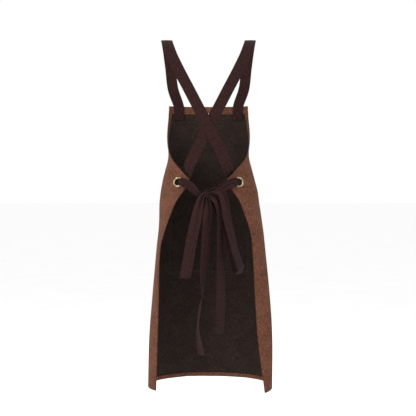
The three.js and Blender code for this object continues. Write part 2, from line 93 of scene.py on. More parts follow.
# ---- eyelets ----
EYELET_FROM_EDGE = 0.036
EYELET_S = PANEL_HALF_WIDTH - EYELET_FROM_EDGE
EYELET_Z = -0.453
EYELET_FLAT = (0.016, 0.062)
HOLE_RADIUS = 0.011
BARREL_RADIUS = 0.0122
FLANGE_RADIUS = 0.0175
CLOTH_HOLE = 0.0142
HOLE_REGION = 0.030
RIM_REACH = 0.0045
BRASS_SEAT = 0.0002

# ---- folds of the hems, with the turn in radians ----
HEM_END = 0.0004
HEM_LIFT = 0.0001
HEM_TURN = (0.35, 2.5)
SIDE_HEM_START = 0.2

# ---- patches, pocket, label ----
PATCH_WIDTH = 0.062
PATCH_DROP = 0.056
PATCH_STEPS = 17
POCKET_HALF = 0.150
POCKET_TOP = -0.560
POCKET_DROP = 0.200
POCKET_HEM = 0.022
POCKET_GRID = (61, 41)
POCKET_OFF = 0.0013
POCKET_SAG = 0.0022
POCKET_SEAM = 0.014
POCKET_HEM_OFF = 0.0034
POCKET_HEM_END = 0.0005
POCKET_HEM_TURN = [(-0.0008, 0.0004), (-0.0010, 0.0014), (0.0004, 0.0022)]
LABEL_HALF = 0.017
LABEL_DROP = 0.042
LABEL_GRID = (9, 15)
LABEL_TUCK = 0.004
LABEL_OFF = 0.0012
LABEL_CURL = 0.0035
LABEL_THICK = 0.0003
SIDES = ((-1, "left"), (1, "right"))

# ---- stitches: each a spindle, in shares of its length and thickness ----
STITCH_PITCH = 0.0042
STITCH_LENGTH = 0.0030
STITCH_RADIUS = 0.00038
STITCH_SIDES = 6
STITCH_SHAPE = [(-0.5, 0.35), (-0.32, 0.95), (0.0, 1.1), (0.32, 0.95), (0.5, 0.35)]
STITCH_INSET = 0.002
STITCH_STOP = 0.001
PATCH_STITCH_INSET = 0.003
POCKET_STITCHES = (0.002, 0.008)
THREAD_LIFT = 0.0001

# ---- straps ----
BIB_STRAP_S = 0.100
STRAP_END_DROPS = (0.046, 0.023, 0.002)
STRAP_BOX_HALF = 0.0135
STRAP_BOX_TOP = 0.005
STRAP_BOX_LOW = 0.042
STRAP_BEHIND = -0.0042
STRAP_LIFT = 0.0034
BAND_RISE = 0.0035

# ---- settling of the cloth ----
SETTLE_FRAMES = 26
SETTLE_REACH = 0.007
SETTLE_FADE = 0.12
BODY_GAP = 0.004
FORM_ROW_STEP, FORM_COLUMN_STEP = 4, 2
HELD_UNDER_BIB_TOP = 0.012
HELD_ROUND_STRAP = 0.05
HELD_ROUND_EYELET = 0.032

# ---- stage ----
FLOOR_Z = -1.36
STAGE_REACH = 60.0
LIT_PLACE = (0, 0, -0.6)
LIGHTS = [
    # name, place, size, power
    ("key", (-1.9, -2.3, 0.5), 1.6, 60),
    ("fill", (2.4, -2.4, 0.2), 2.2, 14),
    ("front", (0.6, 2.6, 0.6), 2.0, 25),
]
CAMERA_PLACE = (-0.0016, -3.05, -0.478)
CAMERA_ANGLE = 24.64
CAMERA_SHIFT = -0.0433

# ---- weave ----
TWILL_PITCH = 0.0016
LABEL_RIB = 0.0007
HERRINGBONES = 6
BLACK = (0, 0, 0)
WHITE = (1, 1, 1)

# ---- grid of the panel ----
GRID_COLUMNS = 43
SKIRT_ROWS = 80
ARMHOLE_ROWS = 34

# ---- tape ----
TAPE = 0.035
TAPE_THICK = 0.0013
TAPE_ACROSS = 17
TAPE_STEP = 0.004
LEAST_STATIONS = 24
FACING_PASSES = 6
WIDTH_PASSES = 4

# ---- wrap of the knot, in degrees ----
WRAP_STEPS = 15
WRAP_START = -110
WRAP_TURN = 27
WRAP_GROWTH = 0.03

# ---- working values ----
TINY = 1e-9
EDGE_STEPS = 64
LATHE_STEPS = 96
ROUND_STEPS = 5

knot_low, knot_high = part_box("bow_knot")
KNOT = (Vector(knot_low) + Vector(knot_high)) / 2


# ==== worn shape of the panel ====


def smooth_value(column, z):
    """Value of one column of LEVELS between two levels, joined smoothly to its neighbours."""
    values = [level[column] for level in LEVELS]
    last = len(values) - 1
    z = min(max(z, LEVEL_Z[last]), LEVEL_Z[0])
    k = next((i for i in range(last) if z >= LEVEL_Z[i + 1]), last - 1)

    def slope(i):
        low, high = max(i - 1, 0), min(i + 1, last)
        return (values[high] - values[low]) / (LEVEL_Z[high] - LEVEL_Z[low])

    span = LEVEL_Z[k + 1] - LEVEL_Z[k]
    t = (z - LEVEL_Z[k]) / span
    rise = t * t * (3 - 2 * t)
    bend = t * (1 - t) * span * ((1 - t) * slope(k) - t * slope(k + 1))
    return values[k] * (1 - rise) + values[k + 1] * rise + bend


def bezier(a, b, c, d, t):
    t = np.asarray(t)[..., None]
    a, b, c, d = (np.asarray(p, float) for p in (a, b, c, d))
    return (1 - t) ** 3 * a + 3 * (1 - t) ** 2 * t * b + 3 * (1 - t) * t**2 * c + t**3 * d


def lengths_along(points):
    steps = np.linalg.norm(np.diff(points, axis=0), axis=1)
    return np.concatenate([[0], np.cumsum(steps)])


def half_section(side, z):
    """Half of a plan section, from the front centre to the back edge, with lengths along it."""
    front, flat = smooth_value(FRONT, z), smooth_value(FLAT, z)
    wide, edge = smooth_value(WIDE[side], z), smooth_value(EDGE[side], z)
    t = np.linspace(0, 1, CURVE_STEPS)
    fore = bezier((0, front), (flat * wide, front), (wide, SIDE_ROUND * front), (wide, 0), t)
    needed = PANEL_HALF_WIDTH - lengths_along(fore)[-1]

    def aft(depth):
        tuck = (edge + TAIL_ROUND * (wide - edge), -EDGE_TUCK * depth)
        return bezier((wide, 0), (wide, -TAIL_ROUND * depth), tuck, (edge, -depth), t)

    shallow, deep = 0.0, DEEPEST_BACK
    while deep - shallow > LENGTH_MATCH:
        middle = (deep + shallow) / 2
        if lengths_along(aft(middle))[-1] < needed:
            shallow = middle
        else:
            deep = middle
    points = np.vstack([fore, aft(deep)[1:]])
    return points, lengths_along(points)


def worn_points(s_values, z):
    """Places of one row of the worn panel."""
    row = np.zeros((len(s_values), 3))
    row[:, 2] = z
    for side in (-1, 1):
        mask = s_values < 0 if side < 0 else s_values >= 0
        points, along = half_section(side, z)
        reach = np.abs(s_values[mask])
        row[mask, 0] = side * np.interp(reach, along, points[:, 0])
        row[mask, 1] = np.interp(reach, along, points[:, 1])
    return row


ARMHOLE = [
    (BIB_HALF_WIDTH, BIB_TOP),
    (BIB_HALF_WIDTH + ARMHOLE_PULL["top_out"], BIB_TOP - ARMHOLE_PULL["top_drop"]),
    (PANEL_HALF_WIDTH - ARMHOLE_PULL["tip_in"], WING_TIP + ARMHOLE_PULL["tip_rise"]),
    (PANEL_HALF_WIDTH, WING_TIP),
]


def armhole(t):
    return bezier(*ARMHOLE, t)


class Panel:
    """The cloth as a grid of places, which answers for any flat place s, z."""

    def __init__(self):
        skirt = np.linspace(HEM, WING_TIP, SKIRT_ROWS + 1)
        edge = armhole(np.linspace(1, 0, ARMHOLE_ROWS + 1)[1:])
        self.z = np.concatenate([skirt, edge[:, 1]])
        self.half = np.concatenate([np.full(len(skirt), PANEL_HALF_WIDTH), edge[:, 0]])
        self.share = np.linspace(-1, 1, 2 * GRID_COLUMNS + 1)
        self.flat_s = self.half[:, None] * self.share[None, :]
        self.points = np.array([worn_points(s, z) for s, z in zip(self.flat_s, self.z)])
        low = np.clip((WING_TIP - self.z) / (WING_TIP - HEM), 0, 1)[:, None]
        corner = low * np.abs(self.share)[None, :] ** DROOP_POWER
        self.points[..., 2] -= corner * np.where(self.share < 0, *CORNER_DROOP)[None, :]
        for side in (-1, 1):
            self.flatten(side * EYELET_S, EYELET_Z, *EYELET_FLAT)
        self.measure()

    def measure(self):
        """Outward normals at the grid's places."""
        round_step = np.gradient(self.points, axis=1)
        up_step = np.gradient(self.points, axis=0)
        normal = np.cross(up_step, round_step)
        self.normals = normal / np.linalg.norm(normal, axis=2, keepdims=True)

    def flatten(self, s0, z0, inner, outer):
        """Press the cloth flat round one place."""
        self.measure()
        at, round_way, up_way, _ = self.frame(s0, z0)
        s = self.flat_s - s0
        z = (self.z - z0)[:, None]
        away = np.clip((np.hypot(s, z) - inner) / (outer - inner), 0, 1)
        weight = (1 - away**2 * (3 - 2 * away))[..., None]
        level = at + s[..., None] * round_way + z[..., None] * up_way
        self.points = self.points * (1 - weight) + level * weight

    def look_up(self, grid, s, z):
        """Value of a grid at flat places, between its four nearest points."""
        just_inside = 0.001
        last_row = len(self.z) - (1 + just_inside)
        row = np.clip(np.interp(z, self.z, np.arange(len(self.z))), 0, last_row)
        half = np.interp(z, self.z, self.half)
        column = (np.clip(s / half, -1, 1) + 1) * GRID_COLUMNS
        column = np.clip(column, 0, 2 * GRID_COLUMNS - just_inside)
        r, c = row.astype(int), column.astype(int)
        fr, fc = (row - r)[..., None], (column - c)[..., None]
        low = grid[r, c] * (1 - fc) + grid[r, c + 1] * fc
        high = grid[r + 1, c] * (1 - fc) + grid[r + 1, c + 1] * fc
        return low * (1 - fr) + high * fr

    def at(self, s, z, off=0.0):
        """Places off the cloth: positive is away from the wearer."""
        s, z = np.broadcast_arrays(np.asarray(s, float), np.asarray(z, float))
        place = self.look_up(self.points, s, z)
        out = self.look_up(self.normals, s, z)
        out = out / np.linalg.norm(out, axis=-1, keepdims=True)
        return place + out * np.asarray(off)[..., None]

    def frame(self, s, z):
        """Place on the cloth with its ways round the body, up and outward."""
        step = 0.004
        round_way = self.at(s + step, z) - self.at(s - step, z)
        round_way /= np.linalg.norm(round_way)
        up_way = self.at(s, z + step) - self.at(s, z - step)
        up_way -= round_way * up_way.dot(round_way)
        up_way /= np.linalg.norm(up_way)
        return self.at(s, z), round_way, up_way, np.cross(up_way, round_way)


# ==== meshes ====


def new_object(name, points, faces, uvs=None):
    """Object from points and faces, with the cloth's own coordinates in metres as its UV map."""
    mesh = bpy.data.meshes.new(name)
    mesh.from_pydata([tuple(p) for p in points], [], faces)
    mesh.update()
    if uvs is not None:
        layer = mesh.uv_layers.new(name="cloth")
        corners = np.empty(len(mesh.loops), dtype=np.int32)
        mesh.loops.foreach_get("vertex_index", corners)
        layer.data.foreach_set("uv", np.asarray(uvs, float)[corners].ravel())
    mesh.polygons.foreach_set("use_smooth", [True] * len(mesh.polygons))
    obj = bpy.data.objects.new(name, mesh)
    bpy.context.scene.collection.objects.link(obj)
    return obj


def grid_faces(rows, columns, closed=False):
    """Faces of a grid, closed round its columns or open."""
    faces = []
    for r in range(rows - 1):
        for c in range(columns if closed else columns - 1):
            a, b = r * columns + c, r * columns + (c + 1) % columns
            faces.append((a, b, b + columns, a + columns))
    return faces


def sheet_object(name, points, uvs, thick, materials, blocked=()):
    """Cloth from a grid of places, given its thickness. Of two materials the last is the outer."""
    rows, columns = points.shape[:2]
    faces = grid_faces(rows, columns)
    if len(blocked):
        faces = [face for face in faces if not any(blocked[i] for i in face)]
    obj = new_object(name, points.reshape(-1, 3), faces, uvs.reshape(-1, 2))
    smooth = obj.modifiers.new("smooth", "SUBSURF")
    smooth.levels = smooth.render_levels = 1
    solid = obj.modifiers.new("thickness", "SOLIDIFY")
    solid.thickness = thick
    solid.offset = 0
    solid.use_even_offset = True
    solid.material_offset = len(materials) - 1
    for material in materials:
        obj.data.materials.append(material)
    return obj


def lathe(name, profile, at, axis, material):
    """Closed turned piece: the profile is a closed list of radius and height along the axis."""
    turn = Vector((0, 0, 1)).rotation_difference(Vector(axis)).to_matrix()
    points = []
    for radius, height in profile:
        for k in range(LATHE_STEPS):
            angle = 2 * math.pi * k / LATHE_STEPS
            spot = turn @ Vector((radius * math.cos(angle), radius * math.sin(angle), height))
            points.append(spot + Vector(at))
    faces = []
    for r in range(len(profile)):
        for c in range(LATHE_STEPS):
            a, b = r * LATHE_STEPS + c, r * LATHE_STEPS + (c + 1) % LATHE_STEPS
            d, e = ((corner + LATHE_STEPS) % len(points) for corner in (a, b))
            faces.append((a, b, e, d))
    obj = new_object(name, points, faces)
    obj.data.materials.append(material)
    return obj


def round_profile(corners, radius):
    """Closed outline with each corner rounded off, over less than half of the sides it joins."""
    outline = []
    side_share = 2.1
    count = len(corners)
    for i in range(count):
        before, here, after = (np.array(corners[j % count], float) for j in (i - 1, i, i + 1))
        reach = min(radius, *(np.linalg.norm(p - here) / side_share for p in (before, after)))
        start = here + (before - here) / np.linalg.norm(before - here) * reach
        end = here + (after - here) / np.linalg.norm(after - here) * reach
        for t in np.linspace(0, 1, ROUND_STEPS):
            outline.append(tuple((1 - t) ** 2 * start + 2 * t * (1 - t) * here + t**2 * end))
    return outline


# ==== materials ====


COTTON = {"Roughness": 0.95, "Specular_IOR_Level": 0.12, "Sheen_Weight": 0.02, "Sheen_Roughness": 0.5}


class Nodes:
    """Small helper that adds nodes to a material and joins them."""

    def __init__(self, name):
        self.material = bpy.data.materials.new(name)
        self.material.use_nodes = True
        self.tree = self.material.node_tree
        self.shader = self.tree.nodes["Principled BSDF"]

    def add(self, kind, **values):
        node = self.tree.nodes.new(kind)
        for key, value in values.items():
            setattr(node, key, value)
        return node

    def join(self, source, target):
        self.tree.links.new(source, target)

    def math(self, operation, first, second=None):
        node = self.add("ShaderNodeMath", operation=operation)
        for socket, value in zip(node.inputs, (first, second)):
            if isinstance(value, (int, float)):
                socket.default_value = value
            elif value is not None:
                self.join(value, socket)
        return node.outputs[0]

    def weighted(self, *parts):
        """Sum of sources, each times its own share."""
        total = None
        for source, share in parts:
            term = self.math("MULTIPLY", source, share)
            total = term if total is None else self.math("ADD", total, term)
        return total

    def ribs(self, across, pitch):
        """Rounded ribs between 0 and 1, one for each pitch across them."""
        wave = self.math("SINE", self.math("MULTIPLY", across, 2 * math.pi / pitch))
        return self.math("MULTIPLY", self.math("ADD", wave, 1.0), 0.5)

    def uv(self):
        source = self.add("ShaderNodeUVMap", uv_map="cloth")
        split = self.add("ShaderNodeSeparateXYZ")
        self.join(source.outputs[0], split.inputs[0])
        return source.outputs[0], split.outputs[0], split.outputs[1]

    def noise(self, vector, scale, detail=3.0, stretch=(1, 1, 1)):
        mapping = self.add("ShaderNodeMapping")
        mapping.inputs["Scale"].default_value = stretch
        self.join(vector, mapping.inputs["Vector"])
        texture = self.add("ShaderNodeTexNoise")
        texture.inputs["Scale"].default_value = scale
        texture.inputs["Detail"].default_value = detail
        self.join(mapping.outputs[0], texture.inputs["Vector"])
        return texture.outputs["Fac"]

    def ramp(self, factor, stops):
        """Colour between two stops."""
        node = self.add("ShaderNodeValToRGB")
        for element, (position, colour) in zip(node.color_ramp.elements, stops):
            element.position = position
            element.color = (*colour, 1)
        self.join(factor, node.inputs[0])
        return node.outputs[0]

    def mix(self, factor, under, colour):
        """A plain colour over another by a factor. Sockets 6, 7 and 2 are the node's colours."""
        node = self.add("ShaderNodeMix", data_type="RGBA")
        self.join(factor, node.inputs[0])
        self.join(under, node.inputs[6])
        node.inputs[7].default_value = (*colour, 1)
        return node.outputs[2]

    def surface(self, colour, **values):
        """Joins the colour to the shader and sets the shader's own values."""
        self.join(colour, self.shader.inputs["Base Color"])
        for key, value in values.items():
            self.shader.inputs[key.replace("_", " ")].default_value = value

    def bump(self, height, strength, distance):
        node = self.add("ShaderNodeBump")
        node.inputs["Strength"].default_value = strength
        node.inputs["Distance"].default_value = distance
        self.join(height, node.inputs["Height"])
        self.join(node.outputs[0], self.shader.inputs["Normal"])


def denim(name, dark, light, fleck):
    """Twill cloth: slanted ribs, slubby yarns both ways, pale flecks and a little fading."""
    nodes = Nodes(name)
    vector, u, v = nodes.uv()
    rib = nodes.ribs(nodes.math("ADD", u, v), TWILL_PITCH)
    warp = nodes.noise(vector, scale=700, detail=2, stretch=(1, 0.08, 1))
    weft = nodes.noise(vector, scale=700, detail=2, stretch=(0.08, 1, 1))
    coarse = nodes.noise(vector, scale=240, detail=2, stretch=(1, 0.35, 1))
    faded = nodes.noise(vector, scale=22, detail=4)
    yarn = nodes.weighted((warp, 0.6), (weft, 0.4))
    ridge = nodes.math("SUBTRACT", rib, 0.5)
    tone = nodes.weighted((yarn, 0.5), (coarse, 0.3), (faded, 0.2), (ridge, 0.08))
    cloth = nodes.ramp(tone, [(0.40, dark), (0.60, light)])
    slubs = nodes.noise(vector, scale=330, detail=1, stretch=(1, 0.45, 1))
    specks = nodes.ramp(slubs, [(0.58, BLACK), (0.70, WHITE)])
    nodes.surface(nodes.mix(nodes.math("MULTIPLY", specks, 0.45), cloth, fleck), **COTTON)
    nodes.bump(nodes.weighted((rib, 0.6), (yarn, 0.8)), strength=0.7, distance=0.00035)
    return nodes.material


def twill_tape(name, dark, light):
    """Herringbone cotton tape: ribs slanting both ways, and yarns of uneven colour."""
    nodes = Nodes(name)
    vector, u, v = nodes.uv()
    rib = nodes.ribs(nodes.math("ADD", nodes.math("PINGPONG", u, TAPE / HERRINGBONES), v), TWILL_PITCH)
    yarn = nodes.noise(vector, scale=800, detail=2, stretch=(1, 0.2, 1))
    coarse = nodes.noise(vector, scale=160, detail=3, stretch=(1, 0.5, 1))
    ridge = nodes.math("SUBTRACT", rib, 0.5)
    tone = nodes.weighted((yarn, 0.75), (coarse, 0.25), (ridge, 0.1))
    nodes.surface(nodes.ramp(tone, [(0.40, dark), (0.62, light)]), **COTTON)
    nodes.bump(nodes.math("ADD", rib, nodes.math("MULTIPLY", yarn, 0.6)), strength=0.6, distance=0.0003)
    return nodes.material


def antique_brass(name):
    """Plated brass, browner and duller in patches."""
    nodes = Nodes(name)
    place = nodes.add("ShaderNodeTexCoord").outputs["Object"]
    tarnish = nodes.noise(place, scale=260, detail=5)
    brown, bright = (0.13, 0.09, 0.05), (0.46, 0.37, 0.23)
    nodes.surface(nodes.ramp(tarnish, [(0.38, brown), (0.62, bright)]), Metallic=1.0)
    rough = nodes.add("ShaderNodeMapRange")
    rough.inputs["To Min"].default_value = 0.55
    rough.inputs["To Max"].default_value = 0.28
    nodes.join(tarnish, rough.inputs["Value"])
    nodes.join(rough.outputs[0], nodes.shader.inputs["Roughness"])
    nodes.bump(nodes.noise(place, scale=900, detail=2), strength=0.15, distance=0.0002)
    return nodes.material


def thread(name, dark, light):
    """Sewing thread, a little uneven in colour."""
    nodes = Nodes(name)
    place = nodes.add("ShaderNodeTexCoord").outputs["Object"]
    fibres = nodes.noise(place, scale=700, detail=2)
    nodes.surface(nodes.ramp(fibres, [(0.3, dark), (0.7, light)]), Roughness=0.6)
    return nodes.material


def satin_label(name):
    """Woven satin label with fine cross ribs."""
    nodes = Nodes(name)
    vector, _, v = nodes.uv()
    rib = nodes.math("SINE", nodes.math("MULTIPLY", v, 2 * math.pi / LABEL_RIB))
    satin = nodes.noise(vector, scale=500, detail=2, stretch=(0.1, 1, 1))
    tone = nodes.math("ADD", satin, nodes.math("MULTIPLY", rib, 0.06))
    dull, bright = (0.50, 0.47, 0.41), (0.68, 0.65, 0.58)
    nodes.surface(nodes.ramp(tone, [(0.3, dull), (0.7, bright)]), Roughness=0.5, Sheen_Weight=0.3)
    nodes.bump(rib, strength=0.3, distance=0.0002)
    return nodes.material


OUTSIDE = denim("cloth_outside_twill", dark=(0.056, 0.020, 0.011), light=(0.146, 0.057, 0.033),
                fleck=(0.24, 0.125, 0.085))
# Wearer's side of the cloth: its dark colour is partly the darker reverse of the twill and partly painted
# shade, the shade inside a worn apron darkened into the colour.
INSIDE = denim("cloth_inside_twill_and_painted_shade", dark=(0.0095, 0.0058, 0.0048), light=(0.029, 0.0185, 0.0150),
               fleck=(0.055, 0.037, 0.029))
TAPE_CLOTH = twill_tape("twill_tape", dark=(0.0115, 0.0038, 0.0036), light=(0.036, 0.0140, 0.0133))
BRASS = antique_brass("antique_brass_plate")
STITCH_OUTSIDE = thread("stitch_outside", dark=(0.050, 0.020, 0.012), light=(0.115, 0.052, 0.033))
STITCH_INSIDE = thread("stitch_inside", dark=(0.024, 0.015, 0.012), light=(0.055, 0.034, 0.027))
STITCH_TAPE = thread("stitch_tape", dark=(0.022, 0.010, 0.010), light=(0.055, 0.028, 0.027))
LABEL = satin_label("label_satin")


# ==== panel and its edges ====


def build_panel_object(panel):
    """The cloth with its two eyelet holes. Its first material is the wearer's side."""
    s, z = panel.flat_s, np.broadcast_to(panel.z[:, None], panel.flat_s.shape)
    points, blocked = panel.points, np.zeros(panel.flat_s.size, bool)
    for side, _ in SIDES:
        points, inside = punched(panel, side, s, z, points)
        blocked |= inside
    obj = sheet_object("apron_panel_cloth", points, np.stack([s, z], axis=-1), CLOTH,
                       [INSIDE, OUTSIDE], blocked)
    return finish_piece(obj, "cloth_outside", "apron_panel")


def edge_strip(name, panel, edge, inward, profile):
    """Strip of folded cloth along an edge of the panel. The profile gives places square to the
    edge: how far in from it, and how far off the cloth. The edge and its inward ways are flat."""
    edge, inward = np.asarray(edge), np.asarray(inward)
    step = 0.002
    at_edge = panel.at(edge[:, 0], edge[:, 1])
    within = edge + inward * step
    outward = at_edge - panel.at(within[:, 0], within[:, 1])
    outward /= np.linalg.norm(outward, axis=1, keepdims=True)
    rows = []
    for depth, off in profile:
        spot = edge + inward * max(depth, 0)
        rows.append(panel.at(spot[:, 0], spot[:, 1], off) + outward * max(-depth, 0))
    points = np.stack(rows, axis=1)
    along = lengths_along(at_edge)[:, None]
    across = np.array([depth - off for depth, off in profile])[None, :]
    uvs = np.stack(np.broadcast_arrays(across, along), axis=-1)
    return sheet_object(name, points, uvs, FOLD, [OUTSIDE])


def hem_profile(depth):
    """From the hem's inner line to the edge, round it, and up to the outer face."""
    flat = [(d, FOLD_OFFSET) for d in np.linspace(depth, HEM_END, 5)]
    middle, radius = FOLD_OFFSET / 2 + HEM_LIFT, -FOLD_OFFSET / 2
    turn = [(-radius * math.sin(a), middle - radius * math.cos(a))
            for a in np.linspace(*HEM_TURN, 6)]
    return flat + turn


def straight_edge(start, end, inward, step=0.006):
    """Flat places along an edge, with the way in from it at each."""
    count = max(2, int(math.dist(start, end) / step))
    return np.linspace(start, end, count), np.tile(inward, (count, 1))


def armhole_edge(side):
    """The same for the curved edge of one armhole."""
    edge = armhole(np.linspace(0, 1, EDGE_STEPS))
    along = np.gradient(edge, axis=0)
    along /= np.linalg.norm(along, axis=1, keepdims=True)
    inward = np.stack([along[:, 1], -along[:, 0]], axis=1)
    mirror = np.array([side, 1])
    return edge * mirror, inward * mirror


def stitch_line(lines, panel, path, off):
    """Adds stitches along a flat path to a list of points and faces."""
    points, faces = lines
    path = dense(path)
    along = lengths_along(panel.at(path[:, 0], path[:, 1]))
    count = int(along[-1] / STITCH_PITCH)
    probe = 0.001

    def spot(reach):
        return [np.interp(reach, along, path[:, i]) for i in (0, 1)]

    for start in (np.arange(count) + 0.5) * STITCH_PITCH:
        back, fore = (panel.at(*spot(start + reach), off)
                      for reach in (-STITCH_LENGTH / 2, STITCH_LENGTH / 2))
        middle = (back + fore) / 2
        way = (fore - back) / np.linalg.norm(fore - back)
        out = panel.at(*spot(start), off + probe) - panel.at(*spot(start), off)
        out /= np.linalg.norm(out)
        side = np.cross(way, out)
        first = len(points)
        for share, size in STITCH_SHAPE:
            for k in range(STITCH_SIDES):
                angle = 2 * math.pi * k / STITCH_SIDES
                round_way = side * math.cos(angle) + out * math.sin(angle)
                points.append(middle + way * share * STITCH_LENGTH + STITCH_RADIUS * size * round_way)
        faces.extend(tuple(first + i for i in face)
                     for face in grid_faces(len(STITCH_SHAPE), STITCH_SIDES, closed=True))
        faces.append(tuple(first + k for k in reversed(range(STITCH_SIDES))))
        faces.append(tuple(len(points) - STITCH_SIDES + k for k in range(STITCH_SIDES)))


# ==== tape ====


def catmull(points, count):
    """Centripetal curve through the points: places and shares of the way between them."""
    end_gap = 1.000001  # keeps the last share inside the last span
    pts = [np.asarray(p, float) for p in points]
    pts = [2 * pts[0] - pts[1]] + pts + [2 * pts[-1] - pts[-2]]
    shares = np.linspace(0, len(points) - end_gap, count)
    places = []
    for share in shares:
        k = int(share)
        f = share - k
        p0, p1, p2, p3 = pts[k:k + 4]
        knots = [0.0]
        for a, b in ((p0, p1), (p1, p2), (p2, p3)):
            knots.append(knots[-1] + max(np.linalg.norm(b - a), TINY) ** 0.5)
        t0, t1, t2, t3 = knots
        t = t1 + f * (t2 - t1)

        def between(a, b, start, end):
            return (end - t) / (end - start) * a + (t - start) / (end - start) * b

        middle = between(p1, p2, t1, t2)
        fore = between(between(p0, p1, t0, t1), middle, t0, t2)
        aft = between(middle, between(p2, p3, t2, t3), t1, t3)
        places.append(between(fore, aft, t1, t2))
    return np.array(places), shares


def even_out(values, passes):
    """Smooths a row of values, with its two ends kept."""
    for _ in range(passes):
        values[1:-1] = (values[:-2] + values[2:] + 2 * values[1:-1]) / 4


def tape_object(name, stations, pleats=1.5, cup=0.0012):
    """Tape along stations of place, facing and width. Where it is narrower than the tape, the
    spare width goes into pleats. Gives the object and its length."""
    places = [s[0] for s in stations]
    rough = sum(np.linalg.norm(np.subtract(a, b)) for a, b in zip(places, places[1:]))
    count = max(LEAST_STATIONS, int(rough / TAPE_STEP))
    centres, shares = catmull(places, count)
    along = np.gradient(centres, axis=0)
    along /= np.linalg.norm(along, axis=1, keepdims=True)
    keys = np.arange(len(stations))
    face = np.stack([np.interp(shares, keys, [s[1][i] for s in stations]) for i in range(3)], axis=1)
    even_out(face, FACING_PASSES)
    face -= along * np.sum(face * along, axis=1, keepdims=True)
    face /= np.linalg.norm(face, axis=1, keepdims=True)
    side = np.cross(along, face)
    wide = np.interp(shares, keys, [s[2] for s in stations])
    even_out(wide, WIDTH_PASSES)
    u = np.linspace(-0.5, 0.5, TAPE_ACROSS)
    height = np.sqrt(np.maximum(TAPE**2 - wide**2, 0)) / (4 * pleats)
    ripple = np.sin(2 * math.pi * pleats * u)[None, :] * height[:, None]
    ripple += cup * (1 - (2 * u) ** 2)[None, :] * (wide / TAPE)[:, None]
    points = (centres[:, None, :] + side[:, None, :] * (wide[:, None] * u[None, :])[..., None]
              + face[:, None, :] * ripple[..., None])
    lengths = lengths_along(centres)
    uvs = np.stack(np.broadcast_arrays(u[None, :] * TAPE + TAPE / 2, lengths[:, None]), axis=-1)
    obj = sheet_object(name, points, uvs, TAPE_THICK, [TAPE_CLOTH])
    return obj, lengths[-1]


def facing(turn):
    """Way a hanging tape faces: 0 is straight back at the viewer, turned about the vertical."""
    angle = math.radians(turn)
    return (math.sin(angle), -math.cos(angle), 0.0)


def from_knot(x, y, z):
    """Place sideways, along Y and up from the middle of the CAD knot."""
    return KNOT + Vector((x, y, z))


# ==== pieces sewn to the panel ====


def dense(path, step=0.004):
    """The same flat path with places a step apart."""
    path = np.asarray(path, float)
    along = lengths_along(path)
    spots = np.linspace(0, along[-1], max(2, int(along[-1] / step)))
    return np.stack([np.interp(spots, along, path[:, i]) for i in (0, 1)], axis=1)


def hem(node, panel, edge, depth):
    obj = edge_strip(f"{node}_fold", panel, *edge, hem_profile(depth))
    return finish_piece(obj, "cloth_outside", node)


def finish_piece(obj, slot, *nodes):
    """Puts a piece on the apron's body and hides the CAD nodes it stands for. The slot is not used."""
    if nodes:
        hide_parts(*nodes)
    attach(obj, "apron")
    return obj


def side_edge(side):
    """Flat back edge of one side, from the hem to the wing tip."""
    start = (side * PANEL_HALF_WIDTH, HEM + EDGE_HEM * SIDE_HEM_START)
    return straight_edge(start, (side * PANEL_HALF_WIDTH, WING_TIP), (-side, 0))


def sew_hems(panel):
    """The six hems, each a fold of the outer cloth laid over the edge."""
    pieces = []
    for side, word in SIDES:
        pieces.append(hem(f"side_hem_{word}", panel, side_edge(side), EDGE_HEM))
        pieces.append(hem(f"armhole_hem_{word}", panel, armhole_edge(side), EDGE_HEM))
    bottom = straight_edge((-PANEL_HALF_WIDTH, HEM), (PANEL_HALF_WIDTH, HEM), (0, 1))
    pieces.append(hem("bottom_hem", panel, bottom, EDGE_HEM))
    top = straight_edge((-BIB_HALF_WIDTH, BIB_TOP), (BIB_HALF_WIDTH, BIB_TOP), (0, -1))
    pieces.append(hem("bib_top_hem", panel, top, BIB_HEM))
    return pieces


def hem_stitch_paths():
    inset = EDGE_HEM - STITCH_INSET
    end = PANEL_HALF_WIDTH - STITCH_STOP
    bib_line = BIB_TOP - BIB_HEM + STITCH_INSET
    paths = [
        [(-end, HEM + inset), (end, HEM + inset)],
        [(-BIB_HALF_WIDTH, bib_line), (BIB_HALF_WIDTH, bib_line)],
    ]
    for side, _ in SIDES:
        s = side * (PANEL_HALF_WIDTH - inset)
        paths.append([(s, HEM), (s, WING_TIP)])
        edge, inward = armhole_edge(side)
        paths.append(edge + inward * inset)
    return paths


def corner_patch(panel, side, word):
    """Doubling layer behind the eyelet. Gives the path of its stitching."""
    far = PANEL_HALF_WIDTH - EDGE_HEM
    floor = WING_TIP - PATCH_DROP
    edge, inward = armhole_edge(1)
    line = edge + inward * EDGE_HEM
    columns = np.linspace(far - PATCH_WIDTH, far, PATCH_STEPS)
    tops = np.interp(columns, line[:, 0], line[:, 1])
    share = np.linspace(0, 1, PATCH_STEPS)[:, None]
    z = floor + (tops[None, :] - floor) * share
    s = side * np.broadcast_to(columns[None, :], z.shape)
    uvs = np.stack([s, z], axis=-1)
    points, blocked = punched(panel, side, s, z, panel.at(s, z, FOLD_OFFSET))
    obj = sheet_object(f"corner_patch_{word}_cloth", points, uvs, FOLD, [OUTSIDE], blocked)
    finish_piece(obj, "cloth_outside", f"corner_patch_{word}")
    low, inner = floor + PATCH_STITCH_INSET, side * (far - PATCH_WIDTH + PATCH_STITCH_INSET)
    top = np.interp(abs(inner), line[:, 0], line[:, 1])
    return [(side * far, low), (inner, low), (inner, top)]


